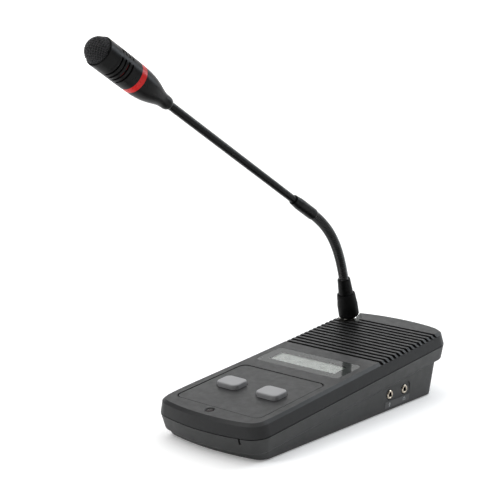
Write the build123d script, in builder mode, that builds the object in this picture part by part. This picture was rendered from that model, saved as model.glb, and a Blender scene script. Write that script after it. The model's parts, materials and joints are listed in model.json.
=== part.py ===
from build123d import *
import os
from math import atan2, cos, pi, radians, sin, sqrt

# Desk paging microphone: a tilted console with two keys, a display, a ribbed loudspeaker
# grille and a gooseneck that carries the microphone head.  Millimetres, +Z up, the user
# sits on the -Y side.  The origin is the centre of the plinth's underside.

os.makedirs("parts", exist_ok=True)

# ---------------------------------------------------------------- driving dimensions
TILT = 5.41                 # slope of the deck, front low, rear high
DECK_FRONT_Y = -114.0       # front edge of the deck's flat top
DECK_FRONT_Z = 28.0
DECK_LENGTH = 245.0
DECK_HALF = 46.8
BOW_RADIUS = 170.0          # bow of the front and rear edges in plan
EDGE_CHAMFER = 2.1
SEAM_DEPTH = 11.0           # joint between cover and case, below the deck
SEAM_GAP = 0.6
SEAM_HALF = 51.2
SEAM_OVER = 3.8             # how far the joint stands out past the deck, front and rear
SEAM_CORNER = 15.0
CASE_DEPTH = 23.5           # underside of the slab, below the deck
COVER_INSET = 2.3           # the cover narrows by this from seam to deck
CASE_INSET = 2.8            # the case narrows by this from seam to underside
WALL = 2.2
COVER_TOP = 3.2
PLINTH_TOP_HALF = 48.0
PLINTH_HALF = 46.6
PLINTH_FRONT = 7.5          # from the deck's front edge, along Y
PLINTH_REAR = 232.0
PLINTH_TOP_FRONT = 1.5      # from the deck's front edge, along the slope
PLINTH_TOP_REAR = 236.0
PLINTH_CORNER = 9.0

GROOVE_COUNT = 14
GROOVE_FIRST = 151.9
GROOVE_PITCH = 5.65
GROOVE_WIDTH = 3.0
GROOVE_DEPTH = 2.4

PANEL_HALF = 40.6
PANEL_FRONT = 15.4
PANEL_REAR = 91.8
PANEL_CORNER = 6.0
PANEL_SUNK = 0.25           # the panel's face under the deck
PANEL_THICK = 2.1           # its underside under the deck
PANEL_GAP = 0.8
LEDGE = 3.0

KEY_X = 19.5
KEY_Y = 54.7
KEY_LONG = 20.4
KEY_WIDE = 15.8
KEY_CORNER = 4.4
KEY_HEIGHT = 3.4            # above the deck
KEY_TRAVEL = 1.2
KEY_GAP = 0.45

WINDOW_HALF = 41.0
WINDOW_FRONT = 105.3
WINDOW_REAR = 137.0
WINDOW_CORNER = 4.5
WINDOW_THICK = 1.5
VIEW_LONG = 64.5            # viewing area of a 16 by 2 character module
VIEW_WIDE = 16.2
VIEW_Y = 121.0

LENS_Y = 9.0
LENS_RADIUS = 3.0

SPEAKER_Y = 188.6
SPEAKER_RADIUS = 26.0

JACK_Y = (51.0, 70.7)
JACK_Z = 12.8
JACK_BORE = 1.8
FERRULE_RADIUS = 3.5

NECK_X = -38.5
NECK_Y = 224.9              # foot of the neck, along Y from the deck's front edge
NECK_LEAN = 13.9            # of the neck's foot, forward from vertical
FLEX_RADIUS = 4.25
FLEX_BORE = 2.6
HINGE_COUNT = 9
HINGE_PITCH = 9.0
LINK_GAP = 1.4
REST_BEND = 44.8
ROD_RADIUS = 3.05
ROD_BORE = 2.2

# ---------------------------------------------------------------- working planes
slope = radians(TILT)
DECK = Plane(
    origin=(0, DECK_FRONT_Y, DECK_FRONT_Z),
    x_dir=(1, 0, 0),
    z_dir=(0, -sin(slope), cos(slope)),
)
DECK_UP = Axis(DECK.origin, DECK.z_dir)


def leaning(y, z, angle):
    """Plane across the neck at (y, z), its normal leaning forward from vertical."""
    lean = radians(angle)
    return Plane(origin=(NECK_X, y, z), x_dir=(1, 0, 0), z_dir=(0, -sin(lean), cos(lean)))


def keep(piece, name):
    """Label a finished piece and write it as its own STEP file."""
    piece.part.label = name
    export_step(piece.part, f"parts/{name}.step")


def bowed_plan(half, front, rear, corner):
    """Rounded rectangle whose front and rear edges bow outwards."""
    sag = BOW_RADIUS - sqrt(BOW_RADIUS**2 - half**2)
    with BuildSketch() as plan:
        with BuildLine():
            Line((-half, front + sag), (-half, rear - sag))
            ThreePointArc((-half, rear - sag), (0, rear), (half, rear - sag))
            Line((half, rear - sag), (half, front + sag))
            ThreePointArc((half, front + sag), (0, front), (-half, front + sag))
        make_face()
        fillet(plan.vertices(), corner)
    return plan.sketch


def soft_rectangle(long, wide, corner):
    """Plain rounded rectangle, centred."""
    with BuildSketch() as plan:
        RectangleRounded(long, wide, corner)
    return plan.sketch


def ring(plane, start, end, outer, inner=0.0):
    """Round tube or rod between two heights above a plane."""
    with BuildPart() as body:
        with BuildSketch(plane.offset(start)):
            Circle(outer)
            if inner:
                Circle(inner, mode=Mode.SUBTRACT)
        extrude(amount=end - start)
    return body


def turned(plane, outline):
    """Solid turned about a plane's normal from (radius, height) points."""
    side = Plane(origin=plane.origin, x_dir=plane.x_dir, z_dir=-plane.y_dir)
    with BuildPart() as body:
        with BuildSketch(side):
            with BuildLine():
                Polyline(*outline, close=True)
            make_face()
        revolve(axis=Axis(plane.origin, plane.z_dir))
    return body


def slab(low_depth, low_inset, high_depth, high_inset):
    """Drafted block between two depths under the deck, in from the seam outline."""
    with BuildPart() as block:
        for depth, inset in ((low_depth, low_inset), (high_depth, high_inset)):
            front = inset - SEAM_OVER
            rear = DECK_LENGTH + SEAM_OVER - inset
            with BuildSketch(DECK.offset(-depth)):
                add(bowed_plan(SEAM_HALF - inset, front, rear, SEAM_CORNER - inset))
        loft(ruled=True)
    return block.part


# ---------------------------------------------------------------- neck stations
neck_z = DECK_FRONT_Z + NECK_Y * sin(slope) / cos(slope)
FOOT = leaning(DECK_FRONT_Y + NECK_Y, neck_z, NECK_LEAN)
CONE_TOP = 36.6
FIRST_HINGE = CONE_TOP + 2.0


def along(plane, distance):
    return plane.origin + plane.z_dir * distance


# The rest bend is spread over the hinges, most of it past the middle of the flex.
bend_weight = []
for k in range(HINGE_COUNT):
    place = ((k + 0.5) / HINGE_COUNT) ** 1.25
    bend_weight.append(0.45 + sin(pi * place))
hinge_bend = [REST_BEND * w / sum(bend_weight) for w in bend_weight]

hinges = [along(FOOT, FIRST_HINGE)]
lean = NECK_LEAN
link_planes = []
for k in range(HINGE_COUNT):
    lean += hinge_bend[k]
    link_plane = leaning(hinges[-1].Y, hinges[-1].Z, lean)
    link_planes.append(link_plane)
    if k < HINGE_COUNT - 1:
        hinges.append(along(link_plane, HINGE_PITCH))
STEM = link_planes[-1]      # from the last hinge out along sleeve, rod and head
SLEEVE_START = 2.4
SLEEVE_LENGTH = 28.8
ROD_VISIBLE = 162.1
HEAD_START = SLEEVE_START + SLEEVE_LENGTH + ROD_VISIBLE
HEAD = STEM.offset(HEAD_START)

for k in range(HINGE_COUNT):
    print("hinge", k + 1, hinges[k], "rest bend", round(hinge_bend[k], 3))
print("head starts", HEAD.origin, "lean", round(lean, 2))

# ---------------------------------------------------------------- top cover
cover_depth = SEAM_DEPTH - SEAM_GAP / 2
case_top = SEAM_DEPTH + SEAM_GAP / 2
panel_long = PANEL_REAR - PANEL_FRONT
panel_mid = (PANEL_REAR + PANEL_FRONT) / 2
window_wide = WINDOW_REAR - WINDOW_FRONT
window_mid = (WINDOW_REAR + WINDOW_FRONT) / 2
grille_centre = GROOVE_FIRST + (GROOVE_COUNT - 1) * GROOVE_PITCH / 2
SEAT = FOOT.offset(-0.6)
SEAT_RADIUS = 10.5
POST_RADIUS = 3.4
posts = [(-40, 145), (40, 145), (36, 224)]
BOARD_THICK = 1.6
DISPLAY_BOARD_DEPTH = 4.9
LAMP_BOARD_DEPTH = 8.0
display_posts = [(x, VIEW_Y + y) for x in (-36.5, 36.5) for y in (-15.0, 15.0)]
lamp_pegs = [(-9, LENS_Y), (9, LENS_Y)]
cover_cavity = slab(cover_depth, WALL, COVER_TOP, WALL + COVER_INSET * 0.7)

with BuildPart() as top_cover:
    add(slab(cover_depth, 0, 0, COVER_INSET))
    chamfer(top_cover.faces().sort_by(DECK_UP)[-1].edges(), EDGE_CHAMFER)
    add(cover_cavity, mode=Mode.SUBTRACT)
    # grooves between the ribs run right across and out through the edge chamfer
    with BuildSketch(DECK):
        with Locations((0, grille_centre)):
            with GridLocations(0, GROOVE_PITCH, 1, GROOVE_COUNT):
                Rectangle(2 * SEAM_HALF, GROOVE_WIDTH)
    extrude(amount=-GROOVE_DEPTH, mode=Mode.SUBTRACT)
    # over the loudspeaker the groove floors are open slots
    with BuildSketch(DECK):
        for k in range(GROOVE_COUNT):
            groove_y = GROOVE_FIRST + k * GROOVE_PITCH
            reach = (SPEAKER_RADIUS - 2) ** 2 - (groove_y - SPEAKER_Y) ** 2
            if reach > 25:
                with Locations((0, groove_y)):
                    Rectangle(2 * sqrt(reach), GROOVE_WIDTH - 0.8)
    extrude(amount=-COVER_TOP - 1, mode=Mode.SUBTRACT)
    # recess and opening for the control panel
    with BuildSketch(DECK):
        with Locations((0, panel_mid)):
            add(soft_rectangle(2 * (PANEL_HALF + PANEL_GAP), panel_long + 2 * PANEL_GAP, PANEL_CORNER))
    extrude(amount=-PANEL_THICK - 0.1, mode=Mode.SUBTRACT)
    with BuildSketch(DECK):
        with Locations((0, panel_mid)):
            add(soft_rectangle(2 * (PANEL_HALF - LEDGE), panel_long - 2 * LEDGE, PANEL_CORNER - 2))
    extrude(amount=-COVER_TOP - 1, mode=Mode.SUBTRACT)
    # recess and opening for the display window
    with BuildSketch(DECK):
        with Locations((0, window_mid)):
            add(soft_rectangle(2 * (WINDOW_HALF + 0.2), window_wide + 0.4, WINDOW_CORNER))
    extrude(amount=-WINDOW_THICK, mode=Mode.SUBTRACT)
    with BuildSketch(DECK):
        with Locations((0, window_mid)):
            Rectangle(2 * (WINDOW_HALF - LEDGE), window_wide - 2 * LEDGE)
    extrude(amount=-COVER_TOP - 1, mode=Mode.SUBTRACT)
    # countersunk hole for the status lens
    with BuildSketch(DECK):
        with Locations((0, LENS_Y)):
            Circle(LENS_RADIUS + 0.15)
    extrude(amount=-COVER_TOP - 1, mode=Mode.SUBTRACT)
    chamfer(top_cover.edges().filter_by(GeomType.CIRCLE).group_by(DECK_UP)[-1].sort_by(Axis.Y)[:1], 0.8)
    # seat for the neck socket, square to the leaning neck
    with BuildSketch(FOOT.offset(-5.0)):
        Circle(SEAT_RADIUS)
    extrude(amount=4.4)
    with BuildSketch(SEAT):
        Circle(SEAT_RADIUS)
    extrude(amount=6, mode=Mode.SUBTRACT)
    with BuildSketch(FOOT.offset(-8)):
        Circle(6.1)
    extrude(amount=10, mode=Mode.SUBTRACT)
    # screw posts that meet the posts of the case, and two tabs that hook the front edge
    with BuildSketch(DECK.offset(-cover_depth + 1)):
        with Locations(*posts):
            Circle(POST_RADIUS)
            Circle(1.2, mode=Mode.SUBTRACT)
    extrude(amount=cover_depth - 1 - COVER_TOP + 0.2)
    with BuildSketch(DECK.offset(-cover_depth - 3)):
        with Locations((-24, 4.4), (24, 4.4)):
            Rectangle(9, 1.4)
    extrude(amount=cover_depth + 3 - COVER_TOP + 0.2)
    # short posts under the window ledge for the display board
    with BuildSketch(DECK.offset(-DISPLAY_BOARD_DEPTH)):
        with Locations(*display_posts):
            Circle(2.2)
            Circle(1.05, mode=Mode.SUBTRACT)
    extrude(amount=DISPLAY_BOARD_DEPTH - COVER_TOP + 0.2)
    # pegs with turned-down ends for the lamp board
    with BuildSketch(DECK.offset(-LAMP_BOARD_DEPTH)):
        with Locations(*lamp_pegs):
            Circle(1.6)
    extrude(amount=LAMP_BOARD_DEPTH - COVER_TOP + 0.2)
    with BuildSketch(DECK.offset(-LAMP_BOARD_DEPTH - BOARD_THICK - 0.6)):
        with Locations(*lamp_pegs):
            Circle(0.85)
    extrude(amount=BOARD_THICK + 0.8)
keep(top_cover, "top_cover")

# ---------------------------------------------------------------- bottom case


def plinth_block(wall, lift, rise):
    """Wedge under the slab: from a bowed outline on the slope down to the flat foot."""
    with BuildPart() as wedge:
        with BuildSketch(DECK.offset(-CASE_DEPTH + rise)):
            front = PLINTH_TOP_FRONT + wall
            rear = PLINTH_TOP_REAR - wall
            add(bowed_plan(PLINTH_TOP_HALF - wall, front, rear, PLINTH_CORNER - wall))
        with BuildSketch(Plane.XY.offset(lift)):
            front = DECK_FRONT_Y + PLINTH_FRONT + wall
            rear = DECK_FRONT_Y + PLINTH_REAR - wall
            add(bowed_plan(PLINTH_HALF - wall, front, rear, PLINTH_CORNER - wall))
        loft(ruled=True)
    return wedge.part


outer_wedge = plinth_block(0, 0, 0.5)
inner_wedge = plinth_block(WALL, WALL, WALL + 0.5)
case_cavity = slab(case_top, WALL, CASE_DEPTH - WALL, WALL + CASE_INSET * 0.8)
jack_wall_x = 47.3
jack_mid = sum(JACK_Y) / 2
rear_y = DECK_FRONT_Y + PLINTH_REAR
NET_X = -16
POWER_X = 16
FOOT_THICK = 1.0
FOOT_SUNK = 0.5
foot_places = [(-34, -88), (34, -88), (-34, 92), (34, 92)]
board_posts = [(-34, -42), (34, -42), (-34, 94), (34, 94)]
BOARD_TOP = 7.6
NET_HEIGHT = 13.4
POWER_HEIGHT = 11.0

with BuildPart() as bottom_case:
    add(slab(case_top, 0, CASE_DEPTH, CASE_INSET))
    fillet(bottom_case.faces().sort_by(DECK_UP)[0].edges(), 1.6)
    add(outer_wedge)
    add(case_cavity, mode=Mode.SUBTRACT)
    add(inner_wedge, mode=Mode.SUBTRACT)
    # tongue inside the cover's wall, on a ledge along the top of the case's wall
    inner = WALL + 1.7
    for low, high, outer in ((2.6, 1.2, 1.0), (1.2, -1.4, WALL + 0.55)):
        low += SEAM_DEPTH
        high += SEAM_DEPTH
        with BuildSketch(DECK.offset(-low)):
            for inset, mode in ((outer, Mode.ADD), (inner, Mode.SUBTRACT)):
                front = inset - SEAM_OVER
                rear = DECK_LENGTH + SEAM_OVER - inset
                add(bowed_plan(SEAM_HALF - inset, front, rear, SEAM_CORNER - inset), mode=mode)
        extrude(amount=low - high)
    # pry slot under the seam, near the right end of the front wall
    with BuildSketch(DECK.offset(-case_top + 0.2)):
        with Locations((35.0, 0)):
            Rectangle(1.7, 9)
    extrude(amount=-4.6, mode=Mode.SUBTRACT)
    # solid screw posts from the floor up to the cover's posts
    for x, y in posts:
        floor_depth = CASE_DEPTH - 0.5
        if y < PLINTH_TOP_REAR:
            floor_depth = (DECK_FRONT_Z + y * sin(slope)) / cos(slope) - 0.6
        with BuildSketch(DECK.offset(-cover_depth + 0.9)):
            with Locations((x, y)):
                Circle(POST_RADIUS)
        extrude(amount=-(floor_depth - cover_depth + 0.9))
        with BuildSketch(DECK.offset(-cover_depth + 1)):
            with Locations((x, y)):
                Circle(1.6)
        extrude(amount=-60, mode=Mode.SUBTRACT)
        with BuildSketch(DECK.offset(-cover_depth - 6)):
            with Locations((x, y)):
                Circle(3.0)
        extrude(amount=-60, mode=Mode.SUBTRACT)
    # shallow recess and clearance holes for the two jacks
    with BuildSketch(Plane.YZ.offset(jack_wall_x - 0.3)):
        with Locations((jack_mid + 0.4, JACK_Z)):
            RectangleRounded(33.5, 12.4, 4.5)
    extrude(amount=4, mode=Mode.SUBTRACT)
    with BuildSketch(Plane.YZ.offset(jack_wall_x - 6)):
        with Locations((JACK_Y[0], JACK_Z), (JACK_Y[1], JACK_Z)):
            Circle(FERRULE_RADIUS + 0.6)
    extrude(amount=9, mode=Mode.SUBTRACT)
    # openings for network socket and power inlet, in the rear wall under the overhang
    with BuildSketch(Plane.XZ.offset(-rear_y + 5)):
        with Locations((NET_X, BOARD_TOP + NET_HEIGHT / 2)):
            Rectangle(16.6, NET_HEIGHT + 0.6)
        with Locations((POWER_X, BOARD_TOP + POWER_HEIGHT / 2)):
            Rectangle(9.6, POWER_HEIGHT + 0.6)
    extrude(amount=-12, mode=Mode.SUBTRACT)
    # standoffs for the main board
    with BuildSketch(Plane.XY.offset(1.0)):
        with Locations(*board_posts):
            Circle(3.0)
    extrude(amount=BOARD_TOP - BOARD_THICK - 1.0)
    with BuildSketch(Plane.XY.offset(3.0)):
        with Locations(*board_posts):
            Circle(1.05)
    extrude(amount=BOARD_TOP, mode=Mode.SUBTRACT)
    # shallow pockets under the plinth for the feet and the rating label
    with BuildSketch(Plane.XY):
        with Locations(*foot_places):
            Circle(6.2)
    extrude(amount=FOOT_SUNK, mode=Mode.SUBTRACT)
    with BuildSketch(Plane.XY):
        with Locations((0, 52)):
            RectangleRounded(52.6, 26.6, 2.3)
    extrude(amount=0.2, mode=Mode.SUBTRACT)
keep(bottom_case, "bottom_case")

# ---------------------------------------------------------------- panel, keys and status lamp
key_places = [(-KEY_X, KEY_Y), (KEY_X, KEY_Y)]
peg_places = [(-33, 36), (33, 36), (-33, 74), (33, 74)]
BOARD_DEPTH = 9.0           # top of the key board under the deck
key_slot_long = KEY_LONG + 2 * KEY_GAP
key_slot_wide = KEY_WIDE + 2 * KEY_GAP

with BuildPart() as control_panel:
    with BuildSketch(DECK.offset(-PANEL_THICK)):
        with Locations((0, panel_mid)):
            add(soft_rectangle(2 * PANEL_HALF, panel_long, PANEL_CORNER - 0.3))
        with Locations(*key_places):
            add(soft_rectangle(key_slot_long, key_slot_wide, KEY_CORNER), mode=Mode.SUBTRACT)
    extrude(amount=PANEL_THICK - PANEL_SUNK)
    with BuildSketch(DECK.offset(-BOARD_DEPTH)):
        with Locations(*peg_places):
            Circle(2.0)
    extrude(amount=BOARD_DEPTH - PANEL_THICK + 0.1)
    with BuildSketch(DECK.offset(-BOARD_DEPTH - BOARD_THICK - 0.6)):
        with Locations(*peg_places):
            Circle(1.2)
    extrude(amount=BOARD_THICK + 0.8)
keep(control_panel, "control_panel")


def keycap(x):
    """Hollow rounded cap with a stop flange under the panel and a stem to its switch."""
    skirt = 3.5
    with BuildPart() as cap:
        with BuildSketch(DECK.offset(-skirt)):
            with Locations((x, KEY_Y)):
                add(soft_rectangle(KEY_LONG, KEY_WIDE, KEY_CORNER))
        extrude(amount=skirt + KEY_HEIGHT)
        fillet(cap.faces().sort_by(DECK_UP)[-1].edges(), 1.2)
        with BuildSketch(DECK.offset(-skirt)):
            with Locations((x, KEY_Y)):
                Rectangle(KEY_LONG + 3, KEY_WIDE + 3)
        extrude(amount=skirt - PANEL_THICK - 0.35)
        with BuildSketch(DECK.offset(-skirt)):
            with Locations((x, KEY_Y)):
                Rectangle(KEY_LONG - 4, KEY_WIDE - 4)
        extrude(amount=skirt + KEY_HEIGHT - 1.6, mode=Mode.SUBTRACT)
        with BuildSketch(DECK.offset(-5.6)):
            with Locations((x, KEY_Y)):
                Circle(1.5)
        extrude(amount=5.6 + KEY_HEIGHT - 1.0)
    return cap


call_key = keycap(-KEY_X)
keep(call_key, "call_key")
talk_key = keycap(KEY_X)
keep(talk_key, "talk_key")

with BuildPart() as key_board:
    with BuildSketch(DECK.offset(-BOARD_DEPTH - BOARD_THICK)):
        with Locations((0, KEY_Y)):
            Rectangle(74, 46)
        with Locations(*peg_places):
            Circle(1.3, mode=Mode.SUBTRACT)
    extrude(amount=BOARD_THICK)
keep(key_board, "key_board")

with BuildPart() as key_switches:
    with BuildSketch(DECK.offset(-BOARD_DEPTH)):
        with Locations(*key_places):
            Rectangle(7.5, 7.5)
    extrude(amount=2.6)
    with BuildSketch(DECK.offset(-BOARD_DEPTH + 0.4)):
        with Locations(*key_places):
            Circle(1.85)
    extrude(amount=4, mode=Mode.SUBTRACT)
keep(key_switches, "key_switches")

LENS = Plane(origin=DECK.from_local_coords(Vector(0, LENS_Y, 0)), x_dir=DECK.x_dir, z_dir=DECK.z_dir)
status_lens = turned(
    LENS, [(0, -2.8), (LENS_RADIUS, -2.8), (LENS_RADIUS, -1.0), (2.3, -0.5), (1.2, -0.3), (0, -0.25)]
)
keep(status_lens, "status_lens")
status_led = ring(LENS, -LAMP_BOARD_DEPTH, -2.9, 2.4)
keep(status_led, "status_led")
with BuildPart() as lamp_board:
    with BuildSketch(DECK.offset(-LAMP_BOARD_DEPTH - BOARD_THICK)):
        with Locations((0, LENS_Y)):
            Rectangle(24, 8)
        with Locations(*lamp_pegs):
            Circle(1.0, mode=Mode.SUBTRACT)
    extrude(amount=BOARD_THICK)
keep(lamp_board, "lamp_board")

# ---------------------------------------------------------------- display
with BuildPart() as display_window:
    with BuildSketch(DECK.offset(-WINDOW_THICK + 0.02)):
        with Locations((0, window_mid)):
            add(soft_rectangle(2 * WINDOW_HALF, window_wide, WINDOW_CORNER - 0.2))
    extrude(amount=WINDOW_THICK - 0.05)
keep(display_window, "display_window")

with BuildPart() as display_frame:
    with BuildSketch(DECK.offset(-4.8)):
        with Locations((0, VIEW_Y)):
            Rectangle(71.2, 24.2)
            Rectangle(67.2, 19.2, mode=Mode.SUBTRACT)
    extrude(amount=3.1)
    with BuildSketch(DECK.offset(-2.2)):
        with Locations((0, VIEW_Y)):
            Rectangle(69, 22)
            Rectangle(VIEW_LONG, VIEW_WIDE, mode=Mode.SUBTRACT)
    extrude(amount=0.5)
keep(display_frame, "display_frame")

with BuildPart() as display_glass:
    with BuildSketch(DECK.offset(-4.2)):
        with Locations((0, VIEW_Y)):
            Rectangle(66.6, 18.6)
    extrude(amount=1.9)
    with BuildSketch(DECK.offset(-2.4)):
        with Locations((0, VIEW_Y)):
            Rectangle(VIEW_LONG - 0.1, VIEW_WIDE - 0.1)
    extrude(amount=0.8)
keep(display_glass, "display_glass")

with BuildPart() as display_board:
    with BuildSketch(DECK.offset(-DISPLAY_BOARD_DEPTH - BOARD_THICK)):
        with Locations((0, VIEW_Y)):
            Rectangle(79, 35)
        with Locations(*display_posts):
            Circle(1.3, mode=Mode.SUBTRACT)
    extrude(amount=BOARD_THICK)
keep(display_board, "display_board")

# ---------------------------------------------------------------- loudspeaker
SPEAKER = Plane(
    origin=DECK.from_local_coords(Vector(0, SPEAKER_Y, 0)), x_dir=DECK.x_dir, z_dir=DECK.z_dir
)
speaker_cloth = ring(SPEAKER, -COVER_TOP - 0.45, -COVER_TOP - 0.05, 27.0)
keep(speaker_cloth, "speaker_cloth")
speaker_frame = turned(
    SPEAKER,
    [
        (22.5, -3.8), (27, -3.8), (27, -5.0), (24.2, -5.0), (12.5, -16), (6, -16), (6, -15),
        (11.8, -15), (22.5, -5.0),
    ],
)
keep(speaker_frame, "speaker_frame")
speaker_cone = turned(
    SPEAKER, [(22.0, -4.4), (21.2, -4.4), (7.0, -12.6), (0, -11.0), (0, -11.8), (7.2, -13.6)]
)
keep(speaker_cone, "speaker_cone")
speaker_magnet = ring(SPEAKER, -23.5, -16.05, 13.0)
keep(speaker_magnet, "speaker_magnet")

# ---------------------------------------------------------------- main board and sockets
with BuildPart() as main_board:
    with BuildSketch(Plane.XY.offset(BOARD_TOP - BOARD_THICK)):
        with Locations((0, 22)):
            Rectangle(80, 150)
        with Locations(*board_posts):
            Circle(1.3, mode=Mode.SUBTRACT)
        with Locations((-40, 33.7), (40, 33.7)):
            Rectangle(16, 10, mode=Mode.SUBTRACT)
    extrude(amount=BOARD_THICK)
keep(main_board, "main_board")

with BuildPart() as board_parts:
    with BuildSketch(Plane.XY.offset(BOARD_TOP)):
        with Locations((-8, 10)):
            Rectangle(14, 14)
        with Locations((14, -18)):
            Rectangle(10, 8)
    extrude(amount=1.8)
    with BuildSketch(Plane.XY.offset(BOARD_TOP)):
        with Locations((-24, 60), (24, 78), (-22, -20)):
            Circle(4.0)
    extrude(amount=10)
keep(board_parts, "board_parts")

# the same screw holds the main board from above and the display board from below
SCREW_HEAD = 1.6
SCREW_SHANK = 3.0
display_back = DISPLAY_BOARD_DEPTH + BOARD_THICK
with BuildPart() as board_screws:
    for plane, places, head_low, shank_low in (
        (Plane.XY, board_posts, BOARD_TOP, BOARD_TOP - SCREW_SHANK),
        (DECK, display_posts, -display_back - SCREW_HEAD, -display_back),
    ):
        with BuildSketch(plane.offset(head_low)):
            with Locations(*places):
                Circle(2.3)
        extrude(amount=SCREW_HEAD)
        with BuildSketch(plane.offset(shank_low)):
            with Locations(*places):
                Circle(1.0)
        extrude(amount=SCREW_SHANK)
keep(board_screws, "board_screws")

JACK_FACE = 43.5
with BuildPart() as jack_bodies:
    with BuildSketch(Plane.YZ.offset(31.5)):
        for y in JACK_Y:
            with Locations((y, BOARD_TOP + 5.2)):
                Rectangle(11, 10.4)
    extrude(amount=JACK_FACE - 31.5)
    with BuildSketch(Plane.YZ.offset(33.1)):
        with Locations((JACK_Y[0], JACK_Z), (JACK_Y[1], JACK_Z)):
            Circle(JACK_BORE)
    extrude(amount=20, mode=Mode.SUBTRACT)
keep(jack_bodies, "jack_bodies")

FERRULE_FACE = 47.9
with BuildPart() as jack_ferrules:
    with BuildSketch(Plane.YZ.offset(JACK_FACE)):
        with Locations((JACK_Y[0], JACK_Z), (JACK_Y[1], JACK_Z)):
            Circle(FERRULE_RADIUS)
            Circle(JACK_BORE, mode=Mode.SUBTRACT)
    extrude(amount=FERRULE_FACE - JACK_FACE)
    chamfer(jack_ferrules.faces().sort_by(Axis.X)[-2:].edges(), 0.55)
keep(jack_ferrules, "jack_ferrules")

LABEL_Z = 4.9
wall_rise = DECK_FRONT_Z - CASE_DEPTH + 165 * sin(slope)
wall_lean = (PLINTH_TOP_HALF - PLINTH_HALF) / wall_rise
label_x = PLINTH_HALF + wall_lean * LABEL_Z
lean_out = atan2(PLINTH_TOP_HALF - PLINTH_HALF, wall_rise)
LABEL = Plane(
    origin=(label_x + 0.06, jack_mid + 0.6, LABEL_Z),
    x_dir=(0, 1, 0),
    z_dir=(cos(lean_out), 0, -sin(lean_out)),
)
with BuildPart() as jack_label:
    with BuildSketch(LABEL):
        RectangleRounded(33.0, 5.4, 0.6)
    extrude(amount=0.15)
keep(jack_label, "jack_label")

PORT_FACE = rear_y + 0.4
with BuildPart() as network_socket:
    with BuildSketch(Plane.XZ.offset(-PORT_FACE)):
        with Locations((NET_X, BOARD_TOP + NET_HEIGHT / 2)):
            Rectangle(16.0, NET_HEIGHT)
    extrude(amount=21)
    with BuildSketch(Plane.XZ.offset(-PORT_FACE)):
        with Locations((NET_X, BOARD_TOP + 6.4)):
            Rectangle(11.9, 8.2)
        with Locations((NET_X, BOARD_TOP + 11.0)):
            Rectangle(5.0, 2.0)
    extrude(amount=14, mode=Mode.SUBTRACT)
keep(network_socket, "network_socket")

with BuildPart() as power_socket:
    with BuildSketch(Plane.XZ.offset(-PORT_FACE)):
        with Locations((POWER_X, BOARD_TOP + POWER_HEIGHT / 2)):
            Rectangle(9.0, POWER_HEIGHT)
    extrude(amount=14)
    with BuildSketch(Plane.XZ.offset(-PORT_FACE)):
        with Locations((POWER_X, BOARD_TOP + POWER_HEIGHT / 2)):
            Circle(3.2)
            Circle(1.0, mode=Mode.SUBTRACT)
    extrude(amount=9.5, mode=Mode.SUBTRACT)
keep(power_socket, "power_socket")

# ---------------------------------------------------------------- underside
with BuildPart() as case_screws:
    for x, y in posts:
        with BuildSketch(DECK.offset(-cover_depth - 7.9)):
            with Locations((x, y)):
                Circle(2.7)
        extrude(amount=1.8)
        with BuildSketch(DECK.offset(-cover_depth - 6.5)):
            with Locations((x, y)):
                Circle(1.15)
        extrude(amount=12)
keep(case_screws, "case_screws")

with BuildPart() as rubber_feet:
    with BuildSketch(Plane.XY.offset(-FOOT_THICK)):
        with Locations(*foot_places):
            Circle(6.0)
    extrude(amount=FOOT_THICK + FOOT_SUNK)
keep(rubber_feet, "rubber_feet")

with BuildPart() as rating_label:
    with BuildSketch(Plane.XY.offset(0.05)):
        with Locations((0, 52)):
            RectangleRounded(52, 26, 2)
    extrude(amount=0.15)
keep(rating_label, "rating_label")

with BuildPart() as ballast_plate:
    with BuildSketch(Plane.XY.offset(WALL + 0.02)):
        with Locations((0, 4)):
            Rectangle(58, 170)
    extrude(amount=2.4)
keep(ballast_plate, "ballast_plate")

# ---------------------------------------------------------------- neck socket and plug
neck_socket = turned(
    FOOT,
    [(4.9, -19), (6.0, -19), (6.0, -7.6), (7.4, -7.6), (7.4, -5.05), (6.0, -5.05), (6.0, 8.6), (4.9, 8.6)],
)
keep(neck_socket, "neck_socket")

NUT_FLATS = 15.5
with BuildPart() as hex_nut:
    with BuildSketch(FOOT.offset(-0.58)):
        RegularPolygon(NUT_FLATS / sqrt(3), 6, rotation=-18.6)
        Circle(6.05, mode=Mode.SUBTRACT)
    extrude(amount=3.0)
    chamfer(hex_nut.faces().sort_by(Axis(FOOT.origin, FOOT.z_dir))[-1].outer_wire().edges(), 0.35)
keep(hex_nut, "hex_nut")

pin_places = [(2.2 * cos(radians(a)), 2.2 * sin(radians(a))) for a in (90, 210, 330)]
with BuildPart() as contact_insert:
    with BuildSketch(FOOT.offset(-18.5)):
        Circle(4.85)
        with Locations(*pin_places):
            Circle(0.82, mode=Mode.SUBTRACT)
    extrude(amount=6.5)
keep(contact_insert, "contact_insert")

with BuildPart() as contact_pins:
    with BuildSketch(FOOT.offset(-19.5)):
        with Locations(*pin_places):
            Circle(0.8)
    extrude(amount=15.5)
keep(contact_pins, "contact_pins")

with BuildPart() as neck_plug:
    for low, high, radius in ((-8, 8.65, 4.6), (8.65, 12.4, 6.6), (12.4, 15.4, 5.8)):
        with BuildSketch(FOOT.offset(low)):
            Circle(radius)
        extrude(amount=high - low)
    with BuildSketch(FOOT.offset(-8)):
        with Locations(*pin_places):
            Circle(1.0)
    extrude(amount=4.5, mode=Mode.SUBTRACT)
    with BuildSketch(FOOT.offset(-3)):
        Circle(2.0)
    extrude(amount=30, mode=Mode.SUBTRACT)
keep(neck_plug, "neck_plug")

neck_cone = turned(
    FOOT,
    [
        (2.0, 15.45), (6.5, 15.45), (6.5, 21), (5.45, 36.0), (5.1, CONE_TOP), (4.6, CONE_TOP),
        (4.6, 24), (2.0, 24),
    ],
)
keep(neck_cone, "neck_cone")

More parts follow.
